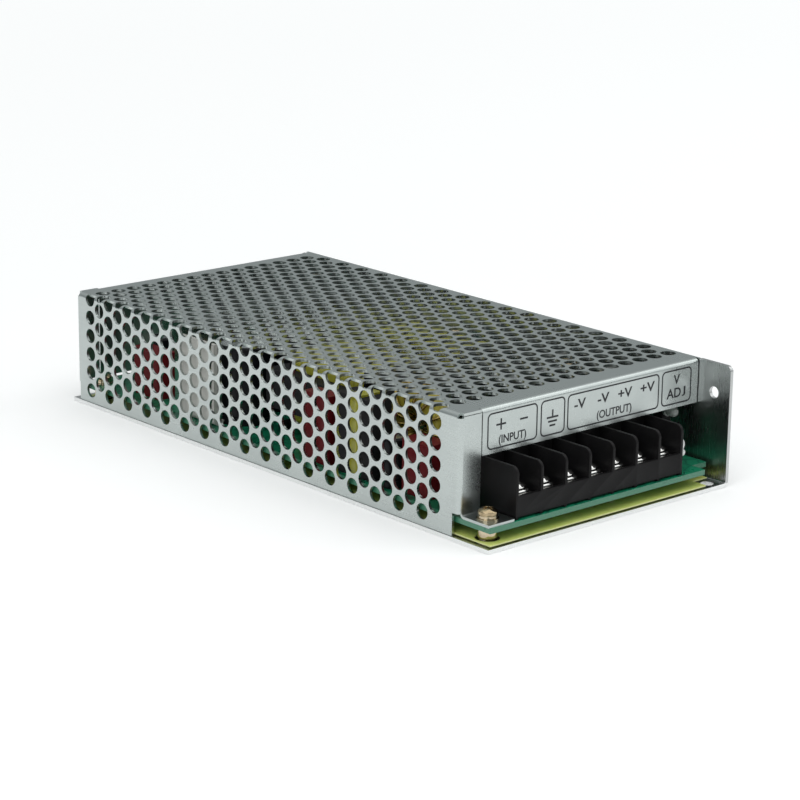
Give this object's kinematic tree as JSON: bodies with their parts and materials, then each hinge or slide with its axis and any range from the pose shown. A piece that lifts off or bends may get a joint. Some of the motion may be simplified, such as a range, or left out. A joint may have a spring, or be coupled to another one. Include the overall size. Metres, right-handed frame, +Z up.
{
  "type": "enclosed dc-dc converter",
  "caption": "Flat metal-cased dc-dc converter: folded chassis, perforated cover and a barrier terminal block with clamp screws at the front.",
  "frame": {"origin": "middle of the footprint, on the underside of the chassis", "axes": "+Z up, +Y along the case from the terminals to the rear, +X towards the solid chassis wall"},
  "size_m": [0.098, 0.199, 0.0371],
  "materials": {
    "bright_sheet": "bright rolled, almost mirror-like",
    "zinc_sheet": "satin plated sheet",
    "nickel": "bright nickel plate",
    "tin": "tin plate",
    "sheet_film": "thin insulating film",
    "board_green": "solder mask on laminate",
    "black_moulding": "moulded, satin",
    "ferrite": "sintered, dull",
    "tape": "polyester tape",
    "yellow_core": "painted powder core",
    "copper": "enamelled wire",
    "black_sleeve": "shrunk sleeve",
    "red_epoxy": "dipped epoxy",
    "heat_sheet": "plain sheet",
    "package_black": "moulded epoxy",
    "pad_grey": "soft pad",
    "trimmer_green": "moulded",
    "lens": "clear tinted lens",
    "fuse_glass": "glass tube with plated caps",
    "clip_brass": "spring brass",
    "white_package": "moulded",
    "resistor_tan": "lacquered"
  },
  "bodies": {
    "case": {"chassis": "bright_sheet", "cover": "zinc_sheet", "cover_screws": "nickel", "insulating_sheet": "sheet_film", "standoffs": "nickel", "circuit_board": "board_green", "board_screws": "nickel", "flat_washers": "nickel", "spring_washers": "nickel", "terminal_block": "black_moulding", "terminal_plates": "tin", "trimmer_body": "trimmer_green", "indicator_lamp": "lens", "lamp_holder": "black_moulding", "transformer_core": "ferrite", "transformer_bobbin": "black_moulding", "transformer_winding": "tape", "output_choke_core": "ferrite", "output_choke_bobbin": "black_moulding", "output_choke_winding": "tape", "ring_choke_core": "yellow_core", "ring_choke_winding": "copper", "drive_transformer_core": "ferrite", "drive_transformer_winding": "tape", "input_capacitors": "black_sleeve", "output_capacitors": "black_sleeve", "film_capacitors": "red_epoxy", "heat_plate": "heat_sheet", "power_transistors": "package_black", "rectifiers": "package_black", "insulating_pads": "pad_grey", "device_screws": "nickel", "fuse": "fuse_glass", "fuse_clips": "clip_brass", "control_chip": "package_black", "optocouplers": "white_package", "small_capacitors": "black_sleeve", "resistors": "resistor_tan"},
    "clamp_1": {"wire_clamp_1": "nickel"},
    "screw_1": {"terminal_screw_1": "nickel"},
    "clamp_2": {"wire_clamp_2": "nickel"},
    "screw_2": {"terminal_screw_2": "nickel"},
    "clamp_3": {"wire_clamp_3": "nickel"},
    "screw_3": {"terminal_screw_3": "nickel"},
    "clamp_4": {"wire_clamp_4": "nickel"},
    "screw_4": {"terminal_screw_4": "nickel"},
    "clamp_5": {"wire_clamp_5": "nickel"},
    "screw_5": {"terminal_screw_5": "nickel"},
    "clamp_6": {"wire_clamp_6": "nickel"},
    "screw_6": {"terminal_screw_6": "nickel"},
    "clamp_7": {"wire_clamp_7": "nickel"},
    "screw_7": {"terminal_screw_7": "nickel"},
    "trimmer": {"trimmer_rotor": "tin"}
  },
  "joints": [
    {"name": "clamp_1_lift", "type": "slide", "parent": "case", "child": "clamp_1", "axis": [0, 0, 1], "range_m": [0, 0.0026]},
    {"name": "screw_1_turn", "type": "hinge", "parent": "clamp_1", "child": "screw_1", "pos_m": [-0.03145, -0.0914, 0.0128], "axis": [0, 0, 1], "range_deg": [0, 1560]},
    {"name": "clamp_2_lift", "type": "slide", "parent": "case", "child": "clamp_2", "axis": [0, 0, 1], "range_m": [0, 0.0026]},
    {"name": "screw_2_turn", "type": "hinge", "parent": "clamp_2", "child": "screw_2", "pos_m": [-0.02195, -0.0914, 0.0128], "axis": [0, 0, 1], "range_deg": [0, 1560]},
    {"name": "clamp_3_lift", "type": "slide", "parent": "case", "child": "clamp_3", "axis": [0, 0, 1], "range_m": [0, 0.0026]},
    {"name": "screw_3_turn", "type": "hinge", "parent": "clamp_3", "child": "screw_3", "pos_m": [-0.01245, -0.0914, 0.0128], "axis": [0, 0, 1], "range_deg": [0, 1560]},
    {"name": "clamp_4_lift", "type": "slide", "parent": "case", "child": "clamp_4", "axis": [0, 0, 1], "range_m": [0, 0.0026]},
    {"name": "screw_4_turn", "type": "hinge", "parent": "clamp_4", "child": "screw_4", "pos_m": [-0.00295, -0.0914, 0.0128], "axis": [0, 0, 1], "range_deg": [0, 1560]},
    {"name": "clamp_5_lift", "type": "slide", "parent": "case", "child": "clamp_5", "axis": [0, 0, 1], "range_m": [0, 0.0026]},
    {"name": "screw_5_turn", "type": "hinge", "parent": "clamp_5", "child": "screw_5", "pos_m": [0.00655, -0.0914, 0.0128], "axis": [0, 0, 1], "range_deg": [0, 1560]},
    {"name": "clamp_6_lift", "type": "slide", "parent": "case", "child": "clamp_6", "axis": [0, 0, 1], "range_m": [0, 0.0026]},
    {"name": "screw_6_turn", "type": "hinge", "parent": "clamp_6", "child": "screw_6", "pos_m": [0.01605, -0.0914, 0.0128], "axis": [0, 0, 1], "range_deg": [0, 1560]},
    {"name": "clamp_7_lift", "type": "slide", "parent": "case", "child": "clamp_7", "axis": [0, 0, 1], "range_m": [0, 0.0026]},
    {"name": "screw_7_turn", "type": "hinge", "parent": "clamp_7", "child": "screw_7", "pos_m": [0.02555, -0.0914, 0.0128], "axis": [0, 0, 1], "range_deg": [0, 1560]},
    {"name": "trimmer_turn", "type": "hinge", "parent": "case", "child": "trimmer", "pos_m": [0.0349, -0.0797, 0.0113], "axis": [0, -1, 0], "range_deg": [-135, 135]}
  ],
  "couplings": [
    {"joint": "screw_1_turn", "follows": "clamp_1_lift", "rad_per_m": 10472},
    {"joint": "screw_2_turn", "follows": "clamp_2_lift", "rad_per_m": 10472},
    {"joint": "screw_3_turn", "follows": "clamp_3_lift", "rad_per_m": 10472},
    {"joint": "screw_4_turn", "follows": "clamp_4_lift", "rad_per_m": 10472},
    {"joint": "screw_5_turn", "follows": "clamp_5_lift", "rad_per_m": 10472},
    {"joint": "screw_6_turn", "follows": "clamp_6_lift", "rad_per_m": 10472},
    {"joint": "screw_7_turn", "follows": "clamp_7_lift", "rad_per_m": 10472}
  ]
}
